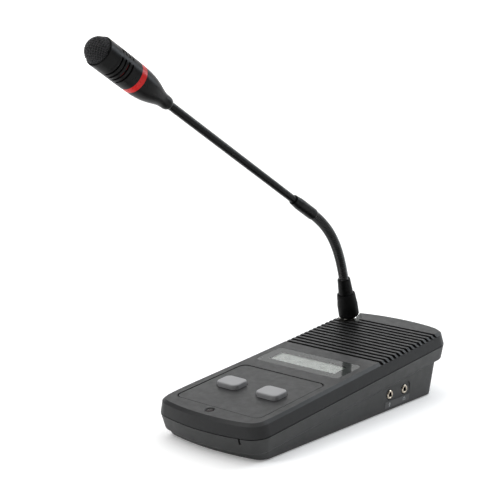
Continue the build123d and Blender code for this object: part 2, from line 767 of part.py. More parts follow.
locking_collar = turned(
    FOOT,
    [
        (6.3, 2.8), (8.45, 2.8), (8.7, 3.4), (8.7, 13.0), (8.15, 17.0), (7.85, 21.6), (7.6, 22.6),
        (6.95, 22.6), (6.95, 15.0), (6.2, 15.0), (6.2, 12.8), (6.95, 12.8), (6.95, 8.3), (6.3, 8.3),
    ],
)
keep(locking_collar, "locking_collar")

# ---------------------------------------------------------------- flexible section
flex_foot = ring(FOOT, 26.0, FIRST_HINGE - LINK_GAP / 2, FLEX_RADIUS, FLEX_BORE)
keep(flex_foot, "flex_foot")
for k in range(HINGE_COUNT - 1):
    flex_link = ring(link_planes[k], LINK_GAP / 2, HINGE_PITCH - LINK_GAP / 2, FLEX_RADIUS, FLEX_BORE)
    keep(flex_link, f"flex_link_{k + 1}")
flex_top = ring(STEM, LINK_GAP / 2, 15.0, FLEX_RADIUS, FLEX_BORE)
keep(flex_top, "flex_top")

# ---------------------------------------------------------------- stem
sleeve_end = SLEEVE_START + SLEEVE_LENGTH
junction_sleeve = turned(
    STEM,
    [
        (4.4, SLEEVE_START), (4.7, SLEEVE_START), (4.85, SLEEVE_START + 0.5), (4.85, sleeve_end - 8),
        (4.05, sleeve_end), (3.15, sleeve_end), (3.15, 17.0), (4.4, 17.0),
    ],
)
keep(junction_sleeve, "junction_sleeve")
rod_tube = ring(STEM, 18.0, HEAD_START + 11.0, ROD_RADIUS, ROD_BORE)
keep(rod_tube, "rod_tube")
mic_lead = ring(STEM, 17.2, HEAD_START + 59.5, 1.1)
keep(mic_lead, "mic_lead")

# ---------------------------------------------------------------- microphone head
HEAD_SIDE = Plane(origin=HEAD.origin, x_dir=HEAD.x_dir, z_dir=-HEAD.y_dir)
HEAD_AXIS = Axis(HEAD.origin, HEAD.z_dir)
RING_START = 38.2
RING_END = 43.2
BARREL_END = 66.4
CAP_END = 76.5
HEAD_RADIUS = 11.1
DOME_RADIUS = 10.3
DOME_BASE = 75.7

with BuildPart() as rear_housing:
    with BuildSketch(HEAD_SIDE):
        with BuildLine():
            Line((3.15, 0), (3.7, 0))
            Spline((3.7, 0), (4.45, 1.2), (5.1, 6.3), (7.2, 15.3), (9.6, 24.2), (10.7, 33), (10.95, 38.1))
            Polyline((10.95, 38.1), (9.4, 38.1), (9.2, 32), (7.9, 24), (5.6, 16), (3.15, 12), (3.15, 0))
        make_face()
    revolve(axis=HEAD_AXIS)
keep(rear_housing, "rear_housing")

light_ring = ring(HEAD, RING_START, RING_END, 11.0, 9.5)
keep(light_ring, "light_ring")
led_board = ring(HEAD, 40.0, 41.2, 9.2, 1.8)
keep(led_board, "led_board")
with BuildPart() as ring_leds:
    with BuildSketch(HEAD.offset(41.2)):
        with PolarLocations(7.4, 4, start_angle=45):
            Rectangle(1.6, 3.0)
    extrude(amount=1.1)
keep(ring_leds, "ring_leds")

SLOT_WIDTH = 1.5
SLOT_PITCH = 3.6
SLOT_FIRST = 53.1
SLOT_ARC = 102.0
with BuildPart() as barrel:
    with BuildSketch(HEAD.offset(RING_END + 0.1)):
        Circle(HEAD_RADIUS)
        Circle(9.6, mode=Mode.SUBTRACT)
    extrude(amount=BARREL_END - RING_END - 0.1)
    with BuildSketch(HEAD.offset(BARREL_END)):
        Circle(10.15)
        Circle(9.6, mode=Mode.SUBTRACT)
    extrude(amount=4.0)
    for centre in (-36, 84, 204):
        start = radians(centre - SLOT_ARC / 2)
        across = HEAD.x_dir * cos(start) + HEAD.y_dir * sin(start)
        side = Plane(origin=HEAD.origin, x_dir=across, z_dir=across.cross(HEAD.z_dir))
        with BuildSketch(side):
            for k in range(4):
                with Locations((10.5, SLOT_FIRST + k * SLOT_PITCH)):
                    Rectangle(4, SLOT_WIDTH)
        revolve(axis=HEAD_AXIS, revolution_arc=SLOT_ARC, mode=Mode.SUBTRACT)
keep(barrel, "barrel")

front_cap = turned(
    HEAD,
    [
        (10.25, BARREL_END + 0.2), (HEAD_RADIUS, BARREL_END + 0.2), (HEAD_RADIUS, CAP_END - 0.5),
        (10.85, CAP_END), (10.45, CAP_END), (10.45, 71.8), (9.0, 71.8), (9.0, 71.0), (10.25, 71.0),
    ],
)
keep(front_cap, "front_cap")


def bowl(base, radius, thick, skirt):
    """Domed cup over the head's axis, with a straight skirt below its rim."""
    with BuildPart() as cup:
        with BuildSketch(HEAD_SIDE):
            with BuildLine():
                Line((radius, base - skirt), (radius, base))
                CenterArc((0, base), radius, 0, 90)
                Line((0, base + radius), (0, base + radius - thick))
                CenterArc((0, base), radius - thick, 0, 90)
                Line((radius - thick, base), (radius - thick, base - skirt))
                Line((radius - thick, base - skirt), (radius, base - skirt))
            make_face()
        revolve(axis=HEAD_AXIS)
    return cup


mesh_dome = bowl(DOME_BASE, DOME_RADIUS, 0.7, 3.8)
keep(mesh_dome, "mesh_dome")
foam_liner = bowl(DOME_BASE, DOME_RADIUS - 0.8, 2.2, 3.2)
keep(foam_liner, "foam_liner")
capsule = ring(HEAD, 60.0, 67.0, 7.0)
keep(capsule, "capsule")
capsule_holder = ring(HEAD, 58.5, 69.0, 9.5, 7.05)
keep(capsule_holder, "capsule_holder")
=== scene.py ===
# %% [markdown]
# # A desk paging microphone
# The console, the neck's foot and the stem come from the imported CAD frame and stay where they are.
# This lesson gives every one of them a finish, and builds the pieces that are too fine for CAD: the
# wound flexible neck, the woven wire dome on the head and the little pictograms beside the jacks.
# All lengths are in metres, so MM turns millimetres into them.

# %% Load the frame
import json
import math

import bmesh
import bpy
from mathutils import Matrix, Vector


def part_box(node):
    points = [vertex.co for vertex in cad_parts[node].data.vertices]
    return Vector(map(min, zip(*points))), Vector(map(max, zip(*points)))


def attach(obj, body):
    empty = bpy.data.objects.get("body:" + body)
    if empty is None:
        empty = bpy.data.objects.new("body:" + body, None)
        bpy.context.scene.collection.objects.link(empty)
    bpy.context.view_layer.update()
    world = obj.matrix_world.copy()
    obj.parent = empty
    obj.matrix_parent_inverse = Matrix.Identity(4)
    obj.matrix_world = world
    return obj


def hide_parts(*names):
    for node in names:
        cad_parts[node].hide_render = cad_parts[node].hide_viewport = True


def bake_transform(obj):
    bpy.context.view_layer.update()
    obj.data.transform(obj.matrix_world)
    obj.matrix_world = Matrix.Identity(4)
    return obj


MM = 0.001
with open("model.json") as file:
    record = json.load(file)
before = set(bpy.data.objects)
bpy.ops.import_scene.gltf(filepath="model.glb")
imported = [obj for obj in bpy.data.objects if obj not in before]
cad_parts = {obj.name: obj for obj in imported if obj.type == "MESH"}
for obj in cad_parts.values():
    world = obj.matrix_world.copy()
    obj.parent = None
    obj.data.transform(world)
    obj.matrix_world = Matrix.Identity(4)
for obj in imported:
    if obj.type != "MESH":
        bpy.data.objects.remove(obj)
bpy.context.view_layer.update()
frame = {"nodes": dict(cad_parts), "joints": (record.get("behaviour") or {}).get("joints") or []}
nodes = frame["nodes"]
joints = {j["name"]: j for j in frame["joints"]}

# %% [markdown]
# ## Helpers for shader nodes
# Each finish below is a Principled shader whose colour, gloss and surface relief come from noise in
# the object's own coordinates. A short helper adds a node and sets its sockets by name; another one
# starts a material and hands back the pieces that every finish needs.

# %% Node helpers


def put(tree, kind, sockets=None, **settings):
    """Adds one node; settings are its properties, sockets its input values by name."""
    made = tree.nodes.new(kind)
    for name, value in settings.items():
        setattr(made, name, value)
    for name, value in (sockets or {}).items():
        made.inputs[name].default_value = value
    return made


def wire(tree, source, target):
    """Joins an output socket to an input socket."""
    tree.links.new(source, target)


def rgba(colour):
    return (colour[0], colour[1], colour[2], 1.0)


def shade(colour, amount):
    """A colour made lighter (amount above 1) or darker."""
    return tuple(min(1.0, c * amount) for c in colour)


def start_material(name, **sockets):
    """A new Principled material: its tree, its shader and the object coordinates."""
    material = bpy.data.materials.new(name)
    material.use_nodes = True
    tree = material.node_tree
    shader = tree.nodes["Principled BSDF"]
    for socket, value in sockets.items():
        shader.inputs[socket.replace("_", " ")].default_value = value
    where = put(tree, "ShaderNodeTexCoord").outputs["Object"]
    return material, tree, shader, where


def noise(tree, where, size, detail=2.0, rough=0.5):
    """Noise whose features are about `size` metres across; returns its 0 to 1 value."""
    cloud = put(
        tree, "ShaderNodeTexNoise", {"Scale": 1.0 / size, "Detail": detail, "Roughness": rough}
    )
    wire(tree, where, cloud.inputs["Vector"])
    return cloud.outputs["Fac"]


def between(tree, factor, low, high, start=0.3, end=0.7):
    """Turns a 0 to 1 value into a value between low and high."""
    span = put(
        tree,
        "ShaderNodeMapRange",
        {"From Min": start, "From Max": end, "To Min": low, "To Max": high},
    )
    wire(tree, factor, span.inputs["Value"])
    return span.outputs["Result"]


def tint(tree, factor, dark, light, start=0.35, end=0.65):
    """Turns a 0 to 1 value into a colour between two shades."""
    ramp = put(tree, "ShaderNodeValToRGB")
    ramp.color_ramp.elements[0].position = start
    ramp.color_ramp.elements[0].color = rgba(dark)
    ramp.color_ramp.elements[1].position = end
    ramp.color_ramp.elements[1].color = rgba(light)
    wire(tree, factor, ramp.inputs["Fac"])
    return ramp.outputs["Color"]


def relief(tree, shader, height, depth, strength=1.0, under=None):
    """Bump of `depth` metres from a 0 to 1 height; `under` is an earlier bump it rides on."""
    bump = put(tree, "ShaderNodeBump", {"Strength": strength, "Distance": depth})
    wire(tree, height, bump.inputs["Height"])
    if under:
        wire(tree, under, bump.inputs["Normal"])
    wire(tree, bump.outputs["Normal"], shader.inputs["Normal"])
    return bump.outputs["Normal"]


# %% [markdown]
# ## Moulded plastic
# The console is injection moulded: the tool is spark eroded, which leaves a very fine, even grain,
# and the colour drifts a little over the length of a moulding. Three noises do this: a slow one for
# the colour, a middling one for handling marks in the gloss, and a fine one for the grain.

# %% Plastic finishes


def moulded(
    name, colour, rough, grain=0.35 * MM, depth=0.02 * MM, drift=0.06, specular=0.35, **sockets
):
    material, tree, shader, where = start_material(name, Specular_IOR_Level=specular, **sockets)
    slow = noise(tree, where, 30 * MM, 3.0)
    wire(
        tree,
        tint(tree, slow, shade(colour, 1 - drift), shade(colour, 1 + drift)),
        shader.inputs["Base Color"],
    )
    marks = noise(tree, where, 6 * MM, 4.0, 0.6)
    wire(tree, between(tree, marks, rough - 0.05, rough + 0.05), shader.inputs["Roughness"])
    relief(tree, shader, noise(tree, where, grain, 2.0), depth, 0.6)
    return material


cover_grey = moulded("cover grey", (0.017, 0.0175, 0.018), 0.46, specular=0.3)
case_charcoal = moulded("case charcoal", (0.030, 0.031, 0.031), 0.52)
panel_grey = moulded(
    "panel grey", (0.018, 0.0185, 0.019), 0.45, specular=0.3, grain=0.25 * MM, depth=0.012 * MM
)
key_grey = moulded(
    "key grey", (0.29, 0.29, 0.296), 0.48, grain=0.3 * MM, depth=0.008 * MM, drift=0.03
)
socket_black = moulded("socket black", (0.012, 0.012, 0.013), 0.32, depth=0.006 * MM)
switch_black = moulded("switch black", (0.02, 0.02, 0.02), 0.4, depth=0.006 * MM)
component_black = moulded("component black", (0.018, 0.018, 0.019), 0.45, depth=0.01 * MM)
insulator_black = moulded("insulator black", (0.015, 0.015, 0.015), 0.4, depth=0.006 * MM)
print("plastics:", 8)

# %% [markdown]
# ## Rubber, cloth, paper and foam
# Soft materials scatter light, so they are rough and carry a relief that can be seen close up. The
# acoustic cloth is a weave, made from two crossed sets of fine waves.

# %% Soft finishes


def soft(name, colour, rough, size, depth, sheen=0.0):
    material, tree, shader, where = start_material(name, Sheen_Weight=sheen, Sheen_Roughness=0.5)
    wire(
        tree,
        tint(tree, noise(tree, where, size * 6), shade(colour, 0.8), shade(colour, 1.25)),
        shader.inputs["Base Color"],
    )
    wire(
        tree,
        between(tree, noise(tree, where, size * 3), rough - 0.06, rough + 0.04),
        shader.inputs["Roughness"],
    )
    relief(tree, shader, noise(tree, where, size, 3.0, 0.6), depth)
    return material


def weave_height(tree, where, thread):
    """0 to 1 height of two crossed sets of threads lying in the object's X and Y."""
    heights = []
    for direction in ("X", "Y"):
        threads = put(
            tree, "ShaderNodeTexWave", {"Scale": 0.314 / thread}, bands_direction=direction
        )
        wire(tree, where, threads.inputs["Vector"])
        heights.append(threads.outputs["Fac"])
    crossed = put(tree, "ShaderNodeMath", operation="MULTIPLY")
    wire(tree, heights[0], crossed.inputs[0])
    wire(tree, heights[1], crossed.inputs[1])
    return crossed.outputs[0]


def woven(name, colour, thread):
    material, tree, shader, where = start_material(name, Sheen_Weight=0.2)
    height = weave_height(tree, where, thread)
    wire(
        tree,
        tint(tree, height, shade(colour, 0.5), shade(colour, 1.4), 0.05, 0.8),
        shader.inputs["Base Color"],
    )
    wire(tree, between(tree, height, 0.95, 0.75), shader.inputs["Roughness"])
    relief(tree, shader, height, 0.08 * MM)
    return material


foot_rubber = soft("foot rubber", (0.015, 0.015, 0.016), 0.8, 0.5 * MM, 0.04 * MM)
lead_rubber = soft("lead rubber", (0.018, 0.018, 0.018), 0.65, 0.4 * MM, 0.02 * MM)
black_foam = soft("black foam", (0.010, 0.010, 0.010), 0.95, 0.45 * MM, 0.2 * MM, 0.3)
cone_paper = soft("cone paper", (0.03, 0.03, 0.031), 0.85, 0.7 * MM, 0.05 * MM, 0.1)
speaker_cloth = woven("speaker cloth", (0.012, 0.012, 0.013), 0.5 * MM)
ferrite = soft("ferrite", (0.05, 0.05, 0.052), 0.6, 0.4 * MM, 0.02 * MM)
print("soft finishes:", 6)

# %% [markdown]
# ## Paint on metal
# The neck, stem and head are steel and aluminium tube with a satin black coating. Such paint has a
# faint orange peel and is glossier than the plastic, so it shows long highlights along each tube.

# %% Paint and metal finishes


def painted(name, colour, rough, peel=0.9 * MM, depth=0.006 * MM, specular=0.10, **sockets):
    material, tree, shader, where = start_material(name, Specular_IOR_Level=specular, **sockets)
    slow = noise(tree, where, 12 * MM, 3.0)
    wire(
        tree,
        tint(tree, slow, shade(colour, 0.85), shade(colour, 1.15)),
        shader.inputs["Base Color"],
    )
    wire(
        tree,
        between(tree, noise(tree, where, 3 * MM, 4.0), rough - 0.04, rough + 0.06),
        shader.inputs["Roughness"],
    )
    relief(tree, shader, noise(tree, where, peel, 2.0), depth)
    return material


def metal(name, colour, rough, streak=(1.0, 1.0, 0.1), size=0.5 * MM, depth=0.004 * MM):
    material, tree, shader, where = start_material(name, Metallic=1.0)
    stretch = put(tree, "ShaderNodeMapping", {"Scale": streak})
    wire(tree, where, stretch.inputs["Vector"])
    grain = noise(tree, stretch.outputs["Vector"], size, 4.0, 0.6)
    wire(
        tree,
        tint(tree, noise(tree, where, 4 * MM, 3.0), shade(colour, 0.82), colour),
        shader.inputs["Base Color"],
    )
    wire(tree, between(tree, grain, rough - 0.06, rough + 0.10), shader.inputs["Roughness"])
    relief(tree, shader, grain, depth)
    return material


neck_black = painted("neck satin black", (0.004, 0.004, 0.004), 0.28)
coil_black = painted("wound coil black", (0.007, 0.007, 0.007), 0.22, peel=0.4 * MM, specular=0.5)
head_black = painted("head satin black", (0.005, 0.005, 0.005), 0.30)
collar_black = painted(
    "collar matt black", (0.006, 0.006, 0.006), 0.50, peel=0.4 * MM, depth=0.012 * MM
)
speaker_steel = painted("speaker frame black", (0.02, 0.02, 0.021), 0.45)
display_black = painted("display frame black", (0.015, 0.015, 0.016), 0.40)
nickel = metal("bright nickel", (0.80, 0.77, 0.71), 0.16)
warm_nickel = metal("warm nickel", (0.50, 0.44, 0.36), 0.24)
gold = metal("gold plating", (0.95, 0.70, 0.32), 0.20)
zinc = metal("zinc plating", (0.66, 0.66, 0.67), 0.32)
bare_steel = metal("bare steel", (0.42, 0.42, 0.43), 0.38, size=0.8 * MM)
aluminium = metal("aluminium", (0.72, 0.72, 0.73), 0.30)
wire_black = painted("wire black", (0.012, 0.012, 0.014), 0.30, peel=0.3 * MM, specular=0.6)
print("paint and metal:", 12)

# %% [markdown]
# ## Clear and tinted pieces, and a painted glow
# The light ring is a translucent red moulding whose lamps are not lit. Its faint glow is painted
# light:
# an emission that stands in for room light scattered inside it, and fades from place to place. The
# display glass is a reflective grey-green panel: with the power off its sixteen by two character
# cells only show as slightly darker rectangles, which a brick pattern draws.

# %% Glossy finishes and the painted glow of the ring


def glossy(name, colour, rough, smear=0.05, **sockets):
    material, tree, shader, where = start_material(name, **sockets)
    wire(
        tree,
        tint(tree, noise(tree, where, 10 * MM), shade(colour, 0.93), shade(colour, 1.07)),
        shader.inputs["Base Color"],
    )
    wire(
        tree,
        between(tree, noise(tree, where, 5 * MM, 4.0), rough, rough + smear),
        shader.inputs["Roughness"],
    )
    relief(tree, shader, noise(tree, where, 2 * MM), 0.002 * MM)
    return material


def ring_painted_glow():
    colour = (0.42, 0.006, 0.005)
    material, tree, shader, where = start_material("light ring red", Specular_IOR_Level=0.2)
    slow = noise(tree, where, 40 * MM)
    wire(tree, tint(tree, slow, shade(colour, 0.85), colour), shader.inputs["Base Color"])
    wire(
        tree, between(tree, noise(tree, where, 2 * MM, 3.0), 0.26, 0.32), shader.inputs["Roughness"]
    )
    # The emission is painted light: a faint glow that stands in for room light scattered inside the
    # unlit red moulding.
    shader.inputs["Emission Color"].default_value = (1.0, 0.01, 0.012, 1.0)
    wire(tree, between(tree, slow, 0.05, 0.08), shader.inputs["Emission Strength"])
    relief(tree, shader, noise(tree, where, 1.2 * MM), 0.003 * MM)
    return material


def display_finish(view_origin, tilt):
    """Grey-green glass with the ghost of its character cells, drawn in the plane of the deck."""
    material, tree, shader, where = start_material("display glass", Specular_IOR_Level=0.3)
    flat = put(
        tree,
        "ShaderNodeMapping",
        {"Location": view_origin, "Rotation": (tilt, 0, 0)},
        vector_type="TEXTURE",
    )
    wire(tree, where, flat.inputs["Vector"])
    cells = put(
        tree,
        "ShaderNodeTexBrick",
        {
            "Scale": 1.0,
            "Mortar Size": 0.28 * MM,
            "Mortar Smooth": 0.4,
            "Brick Width": 3.55 * MM,
            "Row Height": 5.95 * MM,
            "Bias": -0.6,
        },
        offset=0.0,
    )
    cells.inputs["Color1"].default_value = (0.120, 0.145, 0.128, 1)
    cells.inputs["Color2"].default_value = (0.123, 0.149, 0.131, 1)
    cells.inputs["Mortar"].default_value = (0.127, 0.154, 0.135, 1)
    wire(tree, flat.outputs["Vector"], cells.inputs["Vector"])
    wire(tree, cells.outputs["Color"], shader.inputs["Base Color"])
    wire(
        tree, between(tree, noise(tree, where, 5 * MM, 3.0), 0.24, 0.34), shader.inputs["Roughness"]
    )
    relief(tree, shader, noise(tree, where, 0.4 * MM), 0.002 * MM)
    return material


press = joints["left_key_press"]["axis"]
glass_low, glass_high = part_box("display_glass")
deck_tilt = math.atan2(press[1], -press[2])
light_ring_red = ring_painted_glow()
display_green = display_finish((glass_low + glass_high) / 2, deck_tilt)
lens_dark = glossy("status lens", (0.012, 0.006, 0.006), 0.25, Specular_IOR_Level=0.1)
lamp_clear = glossy("clear lamp", (0.75, 0.72, 0.66), 0.15)
board_green = glossy("circuit board", (0.02, 0.11, 0.05), 0.32, Coat_Weight=0.2)
print("deck tilt", round(math.degrees(deck_tilt), 2), "degrees")

# %% [markdown]
# ## The display window
# The window is one clear panel whose border is printed grey from behind, so only its middle is see
# through. One material does both: a box test in the deck's own plane mixes the printed border
# with clear glass, and both share the same glossy front.

# %% Window finish
VIEW_SIZE = (64.5 * MM, 16.2 * MM)


def window_finish(view_origin, tilt):
    material, tree, shader, where = start_material(
        "display window", IOR=1.40, Specular_IOR_Level=0.3
    )
    flat = put(
        tree,
        "ShaderNodeMapping",
        {"Location": view_origin, "Rotation": (tilt, 0, 0)},
        vector_type="TEXTURE",
    )
    wire(tree, where, flat.inputs["Vector"])
    axes = put(tree, "ShaderNodeSeparateXYZ")
    wire(tree, flat.outputs["Vector"], axes.inputs["Vector"])
    inside = []
    for axis, size in zip("XY", VIEW_SIZE):
        distance = put(tree, "ShaderNodeMath", operation="ABSOLUTE")
        wire(tree, axes.outputs[axis], distance.inputs[0])
        inside.append(
            between(tree, distance.outputs[0], 1.0, 0.0, size / 2 - 0.05 * MM, size / 2 + 0.05 * MM)
        )
    clear = put(tree, "ShaderNodeMath", operation="MULTIPLY")
    wire(tree, inside[0], clear.inputs[0])
    wire(tree, inside[1], clear.inputs[1])
    printed = tint(tree, noise(tree, where, 20 * MM), (0.040, 0.043, 0.041), (0.047, 0.050, 0.048))
    colour = put(tree, "ShaderNodeMix", data_type="RGBA")
    colour.inputs["B"].default_value = (0.96, 0.98, 0.96, 1)
    wire(tree, clear.outputs[0], colour.inputs["Factor"])
    wire(tree, printed, colour.inputs["A"])
    wire(tree, colour.outputs["Result"], shader.inputs["Base Color"])
    wire(tree, clear.outputs[0], shader.inputs["Transmission Weight"])
    wire(
        tree, between(tree, noise(tree, where, 8 * MM, 4.0), 0.02, 0.05), shader.inputs["Roughness"]
    )
    relief(tree, shader, noise(tree, where, 15 * MM), 0.002 * MM)
    return material


window_clear = window_finish((glass_low + glass_high) / 2, deck_tilt)
print("window opening", [round(s / MM, 1) for s in VIEW_SIZE], "mm")

# %% [markdown]
# ## Dark places
# The soft lights fill the grooves of the grille and the bores of the jacks more than a real room
# would. Both are darkened in the material to stand in for the missing shade. The mask goes by
# place: under the plane of the deck, and near the line through the middle of a jack.

# %% Darken by place
GROOVE_SHADE = 0.25
BORE_SHADE = 0.04
DECK_EDGE = Vector((0, -114.0, 28.0)) * MM
GROOVE_TOP, GROOVE_DARK, COVER_UNDERSIDE = -0.15 * MM, -0.8 * MM, -3.3 * MM
GRILLE_HALF = 49.6 * MM
GRILLE_FRONT = 149 * MM
BORE_EDGE = 1.95 * MM


def darken(material, amount, mask):
    """Multiply the base colour of a material by an amount where a mask is 1."""
    tree = material.node_tree
    shader = next(n for n in tree.nodes if n.type == "BSDF_PRINCIPLED")
    source = shader.inputs["Base Color"].links[0].from_socket
    mix = put(tree, "ShaderNodeMix", data_type="RGBA", blend_type="MULTIPLY")
    mix.inputs["B"].default_value = (amount, amount, amount, 1)
    wire(tree, mask, mix.inputs["Factor"])
    wire(tree, source, mix.inputs["A"])
    wire(tree, mix.outputs["Result"], shader.inputs["Base Color"])


def step_at(tree, value, low, high):
    """0 at low, 1 at high, and a ramp between them."""
    return between(tree, value, 0.0, 1.0, low, high)


def times(tree, one, other):
    """The product of two values."""
    product = put(tree, "ShaderNodeMath", operation="MULTIPLY")
    wire(tree, one, product.inputs[0])
    wire(tree, other, product.inputs[1])
    return product.outputs[0]


tree = cover_grey.node_tree
where = next(n for n in tree.nodes if n.type == "TEX_COORD").outputs["Object"]
flat = put(
    tree,
    "ShaderNodeMapping",
    {"Location": DECK_EDGE, "Rotation": (deck_tilt, 0, 0)},
    vector_type="TEXTURE",
)
wire(tree, where, flat.inputs["Vector"])
axes = put(tree, "ShaderNodeSeparateXYZ")
wire(tree, flat.outputs["Vector"], axes.inputs["Vector"])
across = put(tree, "ShaderNodeMath", operation="ABSOLUTE")
wire(tree, axes.outputs["X"], across.inputs[0])
deep = step_at(tree, axes.outputs["Z"], GROOVE_TOP, GROOVE_DARK)
shallow = step_at(tree, axes.outputs["Z"], COVER_UNDERSIDE - 0.1 * MM, COVER_UNDERSIDE)
within = step_at(tree, across.outputs[0], GRILLE_HALF, GRILLE_HALF - MM)
behind = step_at(tree, axes.outputs["Y"], GRILLE_FRONT, GRILLE_FRONT + MM)
darken(
    cover_grey, GROOVE_SHADE, times(tree, times(tree, deep, shallow), times(tree, within, behind))
)

tree = warm_nickel.node_tree
where = next(n for n in tree.nodes if n.type == "TEX_COORD").outputs["Object"]
axes = put(tree, "ShaderNodeSeparateXYZ")
wire(tree, where, axes.inputs["Vector"])
ferrule_low, ferrule_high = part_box("jack_ferrules")
ferrule_radius = (ferrule_high.z - ferrule_low.z) / 2
for middle_y in (ferrule_low.y + ferrule_radius, ferrule_high.y - ferrule_radius):
    centre = put(tree, "ShaderNodeCombineXYZ", {"Y": middle_y, "Z": ferrule_low.z + ferrule_radius})
    wire(tree, axes.outputs["X"], centre.inputs["X"])
    apart = put(tree, "ShaderNodeVectorMath", operation="DISTANCE")
    wire(tree, where, apart.inputs[0])
    wire(tree, centre.outputs["Vector"], apart.inputs[1])
    bore = step_at(tree, apart.outputs["Value"], BORE_EDGE, BORE_EDGE - 0.1 * MM)
    darken(warm_nickel, BORE_SHADE, bore)
print("dark places done")

# %% [markdown]
# ## Dress the CAD nodes
# A CAD node keeps its mesh, and takes its finish by having its material replaced.

# %% Finish of every CAD node
finishes = {
    cover_grey: ["top_cover"],
    case_charcoal: ["bottom_case"],
    panel_grey: ["control_panel"],
    key_grey: ["call_key", "talk_key"],
    lens_dark: ["status_lens"],
    lamp_clear: ["status_led", "ring_leds"],
    window_clear: ["display_window"],
    display_black: ["display_frame"],
    display_green: ["display_glass"],
    board_green: ["key_board", "lamp_board", "display_board", "main_board", "led_board"],
    switch_black: ["key_switches"],
    component_black: ["board_parts"],
    zinc: ["board_screws", "case_screws"],
    speaker_cloth: ["speaker_cloth"],
    speaker_steel: ["speaker_frame"],
    cone_paper: ["speaker_cone"],
    ferrite: ["speaker_magnet"],
    socket_black: ["jack_bodies", "network_socket", "power_socket"],
    warm_nickel: ["jack_ferrules"],
    foot_rubber: ["rubber_feet"],
    bare_steel: ["ballast_plate"],
    nickel: ["neck_socket", "hex_nut", "neck_plug"],
    insulator_black: ["contact_insert"],
    gold: ["contact_pins"],
    collar_black: ["locking_collar"],
    neck_black: ["neck_cone", "junction_sleeve", "rod_tube"],
    lead_rubber: ["mic_lead", "capsule_holder"],
    head_black: ["rear_housing", "barrel", "front_cap"],
    light_ring_red: ["light_ring"],
    black_foam: ["foam_liner"],
    aluminium: ["capsule"],
}


def label_finish(name, colour):
    return moulded(name, colour, 0.5, grain=0.6 * MM, depth=0.004 * MM, drift=0.03)


finishes[label_finish("jack label film", (0.065, 0.067, 0.068))] = ["jack_label"]
finishes[label_finish("rating label film", (0.62, 0.62, 0.61))] = ["rating_label"]
for material, names in finishes.items():
    for name in names:
        nodes[name].data.materials.clear()
        nodes[name].data.materials.append(material)
print("dressed", sum(len(names) for names in finishes.values()), "nodes")

# %% [markdown]
# ## Geometry Nodes helpers
# A tree is built once, with named inputs. To use it, a piece gets a modifier, its inputs are set by
# their sockets' identifiers, and the result is turned into a plain mesh, after which the modifier
# and its carrier are thrown away.

# %% Tree helpers


def start_tree(name, inputs):
    """A Geometry Nodes tree with a Geometry socket, the named inputs and a Material input."""
    tree = bpy.data.node_groups.new(name, "GeometryNodeTree")
    tree.interface.new_socket("Geometry", in_out="INPUT", socket_type="NodeSocketGeometry")
    for label, kind in inputs.items():
        tree.interface.new_socket(label, in_out="INPUT", socket_type="NodeSocket" + kind)
    tree.interface.new_socket("Material", in_out="INPUT", socket_type="NodeSocketMaterial")
    tree.interface.new_socket("Geometry", in_out="OUTPUT", socket_type="NodeSocketGeometry")
    return tree, put(tree, "NodeGroupInput").outputs


def sums(tree, operation, *values):
    """One math node; each value is a socket or a number."""
    made = put(tree, "ShaderNodeMath", operation=operation)
    for socket, value in zip(made.inputs, values):
        if isinstance(value, (int, float)):
            socket.default_value = value
        else:
            wire(tree, value, socket)
    return made.outputs[0]


def vectors(tree, operation, *values):
    """One vector math node; each value is a socket or a vector, and Scale comes last."""
    made = put(tree, "ShaderNodeVectorMath", operation=operation)
    targets = [made.inputs[0], made.inputs["Scale"]] if operation == "SCALE" else made.inputs
    for socket, value in zip(targets, values):
        if isinstance(value, (int, float, tuple)):
            socket.default_value = value
        else:
            wire(tree, value, socket)
    return made.outputs["Value" if operation == "LENGTH" else "Vector"]


def end_tree(tree, geometry, material):
    """Realises instances, shades smooth, sets the material and joins the output."""
    real = put(tree, "GeometryNodeRealizeInstances")
    smooth = put(tree, "GeometryNodeSetShadeSmooth")
    paint = put(tree, "GeometryNodeSetMaterial")
    out = put(tree, "NodeGroupOutput")
    wire(tree, geometry, real.inputs["Geometry"])
    wire(tree, real.outputs["Geometry"], smooth.inputs["Geometry"])
    wire(tree, smooth.outputs["Geometry"], paint.inputs["Geometry"])
    wire(tree, material, paint.inputs["Material"])
    wire(tree, paint.outputs["Geometry"], out.inputs["Geometry"])


def grown(name, tree, carrier, values):
    """Runs a tree on a carrier object and returns the result as a plain mesh object."""
    modifier = carrier.modifiers.new(tree.name, "NODES")
    modifier.node_group = tree
    for item in tree.interface.items_tree:
        if item.item_type == "SOCKET" and item.in_out == "INPUT" and item.name in values:
            modifier[item.identifier] = values[item.name]
    bpy.context.view_layer.update()
    evaluated = carrier.evaluated_get(bpy.context.evaluated_depsgraph_get())
    mesh = bpy.data.meshes.new_from_object(evaluated)
    bpy.data.objects.remove(carrier)
    piece = bpy.data.objects.new(name, mesh)
    bpy.context.scene.collection.objects.link(piece)
    face_outwards(mesh)
    return piece


def face_outwards(mesh):
    """Merges doubles and turns every face outwards."""
    work = bmesh.new()
    work.from_mesh(mesh)
    bmesh.ops.remove_doubles(work, verts=work.verts, dist=1e-7)
    bmesh.ops.recalc_face_normals(work, faces=work.faces)
    work.to_mesh(mesh)
    work.free()


def curve_object(name, splines):
    """A curve object of Bezier splines; each point is (place, handle before, handle after)."""
    data = bpy.data.curves.new(name, "CURVE")
    data.dimensions = "3D"
    for points in splines:
        spline = data.splines.new("BEZIER")
        spline.bezier_points.add(len(points) - 1)
        for target, (place, before, after) in zip(spline.bezier_points, points):
            target.co, target.handle_left, target.handle_right = place, before, after
    made = bpy.data.objects.new(name, data)
    bpy.context.scene.collection.objects.link(made)
    return made


# %% [markdown]
# ## The wound flexible neck
# A gooseneck is a tube wound from two wires: a round one outside and a wedge-shaped one pressed
# between its turns. From outside it reads as a fine rounded screw thread. A thread is a rule, so it
# is grown by Geometry Nodes: a circle swept along the neck, then pushed out by a wave that climbs
# once round for each rib. The neck is made in nine lengths, one over each hinge, and each is curved
# tangent to its neighbours and bends only across its own hinge. A whole or half number of ribs per
# length keeps the thread unbroken from one to the next.

